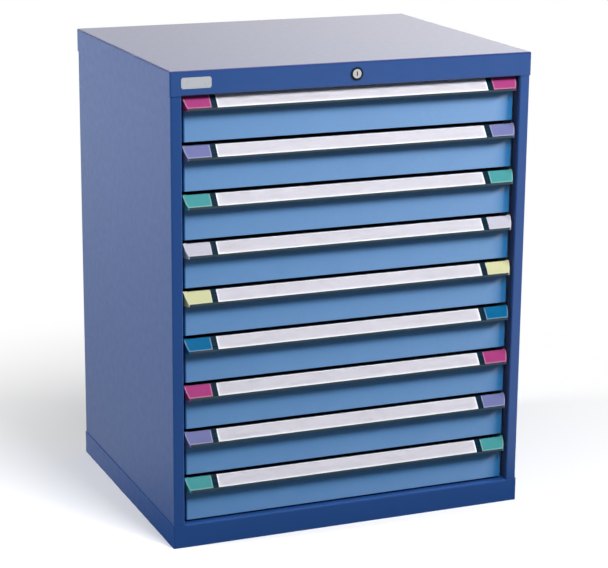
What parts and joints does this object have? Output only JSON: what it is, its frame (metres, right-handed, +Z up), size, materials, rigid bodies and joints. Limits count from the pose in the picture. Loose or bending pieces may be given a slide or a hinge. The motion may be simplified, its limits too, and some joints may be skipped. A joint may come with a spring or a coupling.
{
  "type": "industrial drawer cabinet",
  "caption": "Upright steel workshop cabinet with a stack of full-width shallow drawers on telescopic runners, sloping label grip rails with coloured end caps, and a central lock in the header.",
  "frame": {"origin": "middle of the base on the floor", "axes": "+Z up, drawers open towards -Y, +X to the right seen from the front"},
  "size_m": [0.8, 0.65, 1],
  "materials": {
    "housing_blue": "satin powder coat",
    "drawer_blue": "satin powder coat",
    "grip_rail": "dark anodised, satin",
    "label_white": "satin, smooth",
    "cap_magenta": "moulded, satin",
    "cap_lavender": "moulded, satin",
    "cap_green": "moulded, satin",
    "cap_white": "moulded, satin",
    "cap_yellow": "moulded, satin",
    "cap_petrol": "moulded, satin",
    "runner_steel": "zinc plated",
    "lock_ring": "black, satin",
    "lock_chrome": "bright chrome"
  },
  "bodies": {
    "housing": {"top_cover": "housing_blue", "base_plinth": "housing_blue", "floor_panel": "housing_blue", "right_side_panel": "housing_blue", "left_side_panel": "housing_blue", "back_panel": "housing_blue", "runner_uprights": "runner_steel", "fixed_rails": "runner_steel", "lock_body": "lock_ring", "lock_nut": "runner_steel", "bar_guides": "runner_steel"},
    "lock_plug_unit": {"lock_plug": "lock_chrome", "lock_rod": "runner_steel"},
    "locking_bar": {"locking_bar": "runner_steel"},
    "drawer_1": {"drawer_1_box": "drawer_blue", "drawer_1_grip_rail": "grip_rail", "drawer_1_label": "label_white", "drawer_1_caps": "cap_magenta"},
    "drawer_1_middle_stage": {"drawer_1_carriers": "runner_steel"},
    "drawer_2": {"drawer_2_box": "drawer_blue", "drawer_2_grip_rail": "grip_rail", "drawer_2_label": "label_white", "drawer_2_caps": "cap_lavender"},
    "drawer_2_middle_stage": {"drawer_2_carriers": "runner_steel"},
    "drawer_3": {"drawer_3_box": "drawer_blue", "drawer_3_grip_rail": "grip_rail", "drawer_3_label": "label_white", "drawer_3_caps": "cap_green"},
    "drawer_3_middle_stage": {"drawer_3_carriers": "runner_steel"},
    "drawer_4": {"drawer_4_box": "drawer_blue", "drawer_4_grip_rail": "grip_rail", "drawer_4_label": "label_white", "drawer_4_caps": "cap_white"},
    "drawer_4_middle_stage": {"drawer_4_carriers": "runner_steel"},
    "drawer_5": {"drawer_5_box": "drawer_blue", "drawer_5_grip_rail": "grip_rail", "drawer_5_label": "label_white", "drawer_5_caps": "cap_yellow"},
    "drawer_5_middle_stage": {"drawer_5_carriers": "runner_steel"},
    "drawer_6": {"drawer_6_box": "drawer_blue", "drawer_6_grip_rail": "grip_rail", "drawer_6_label": "label_white", "drawer_6_caps": "cap_petrol"},
    "drawer_6_middle_stage": {"drawer_6_carriers": "runner_steel"},
    "drawer_7": {"drawer_7_box": "drawer_blue", "drawer_7_grip_rail": "grip_rail", "drawer_7_label": "label_white", "drawer_7_caps": "cap_magenta"},
    "drawer_7_middle_stage": {"drawer_7_carriers": "runner_steel"},
    "drawer_8": {"drawer_8_box": "drawer_blue", "drawer_8_grip_rail": "grip_rail", "drawer_8_label": "label_white", "drawer_8_caps": "cap_lavender"},
    "drawer_8_middle_stage": {"drawer_8_carriers": "runner_steel"},
    "drawer_9": {"drawer_9_box": "drawer_blue", "drawer_9_grip_rail": "grip_rail", "drawer_9_label": "label_white", "drawer_9_caps": "cap_green"},
    "drawer_9_middle_stage": {"drawer_9_carriers": "runner_steel"}
  },
  "joints": [
    {"name": "drawer_1_slide", "type": "slide", "parent": "housing", "child": "drawer_1", "axis": [0, -1, 0], "range_m": [0, 0.55]},
    {"name": "drawer_1_middle_slide", "type": "slide", "parent": "housing", "child": "drawer_1_middle_stage", "axis": [0, -1, 0], "range_m": [0, 0.275]},
    {"name": "drawer_2_slide", "type": "slide", "parent": "housing", "child": "drawer_2", "axis": [0, -1, 0], "range_m": [0, 0.55]},
    {"name": "drawer_2_middle_slide", "type": "slide", "parent": "housing", "child": "drawer_2_middle_stage", "axis": [0, -1, 0], "range_m": [0, 0.275]},
    {"name": "drawer_3_slide", "type": "slide", "parent": "housing", "child": "drawer_3", "axis": [0, -1, 0], "range_m": [0, 0.55]},
    {"name": "drawer_3_middle_slide", "type": "slide", "parent": "housing", "child": "drawer_3_middle_stage", "axis": [0, -1, 0], "range_m": [0, 0.275]},
    {"name": "drawer_4_slide", "type": "slide", "parent": "housing", "child": "drawer_4", "axis": [0, -1, 0], "range_m": [0, 0.55]},
    {"name": "drawer_4_middle_slide", "type": "slide", "parent": "housing", "child": "drawer_4_middle_stage", "axis": [0, -1, 0], "range_m": [0, 0.275]},
    {"name": "drawer_5_slide", "type": "slide", "parent": "housing", "child": "drawer_5", "axis": [0, -1, 0], "range_m": [0, 0.55]},
    {"name": "drawer_5_middle_slide", "type": "slide", "parent": "housing", "child": "drawer_5_middle_stage", "axis": [0, -1, 0], "range_m": [0, 0.275]},
    {"name": "drawer_6_slide", "type": "slide", "parent": "housing", "child": "drawer_6", "axis": [0, -1, 0], "range_m": [0, 0.55]},
    {"name": "drawer_6_middle_slide", "type": "slide", "parent": "housing", "child": "drawer_6_middle_stage", "axis": [0, -1, 0], "range_m": [0, 0.275]},
    {"name": "drawer_7_slide", "type": "slide", "parent": "housing", "child": "drawer_7", "axis": [0, -1, 0], "range_m": [0, 0.55]},
    {"name": "drawer_7_middle_slide", "type": "slide", "parent": "housing", "child": "drawer_7_middle_stage", "axis": [0, -1, 0], "range_m": [0, 0.275]},
    {"name": "drawer_8_slide", "type": "slide", "parent": "housing", "child": "drawer_8", "axis": [0, -1, 0], "range_m": [0, 0.55]},
    {"name": "drawer_8_middle_slide", "type": "slide", "parent": "housing", "child": "drawer_8_middle_stage", "axis": [0, -1, 0], "range_m": [0, 0.275]},
    {"name": "drawer_9_slide", "type": "slide", "parent": "housing", "child": "drawer_9", "axis": [0, -1, 0], "range_m": [0, 0.55]},
    {"name": "drawer_9_middle_slide", "type": "slide", "parent": "housing", "child": "drawer_9_middle_stage", "axis": [0, -1, 0], "range_m": [0, 0.275]},
    {"name": "locking_bar_slide", "type": "slide", "parent": "housing", "child": "locking_bar", "axis": [0, 0, 1], "range_m": [0, 0.01272]},
    {"name": "lock_turn", "type": "hinge", "parent": "housing", "child": "lock_plug_unit", "pos_m": [0, -0.323, 0.975], "axis": [0, 1, 0], "range_deg": [0, 90]}
  ],
  "couplings": [
    {"joint": "drawer_1_middle_slide", "follows": "drawer_1_slide", "ratio": 0.5},
    {"joint": "drawer_2_middle_slide", "follows": "drawer_2_slide", "ratio": 0.5},
    {"joint": "drawer_3_middle_slide", "follows": "drawer_3_slide", "ratio": 0.5},
    {"joint": "drawer_4_middle_slide", "follows": "drawer_4_slide", "ratio": 0.5},
    {"joint": "drawer_5_middle_slide", "follows": "drawer_5_slide", "ratio": 0.5},
    {"joint": "drawer_6_middle_slide", "follows": "drawer_6_slide", "ratio": 0.5},
    {"joint": "drawer_7_middle_slide", "follows": "drawer_7_slide", "ratio": 0.5},
    {"joint": "drawer_8_middle_slide", "follows": "drawer_8_slide", "ratio": 0.5},
    {"joint": "drawer_9_middle_slide", "follows": "drawer_9_slide", "ratio": 0.5},
    {"joint": "lock_turn", "follows": "locking_bar_slide", "rad_per_m": 123.41}
  ]
}
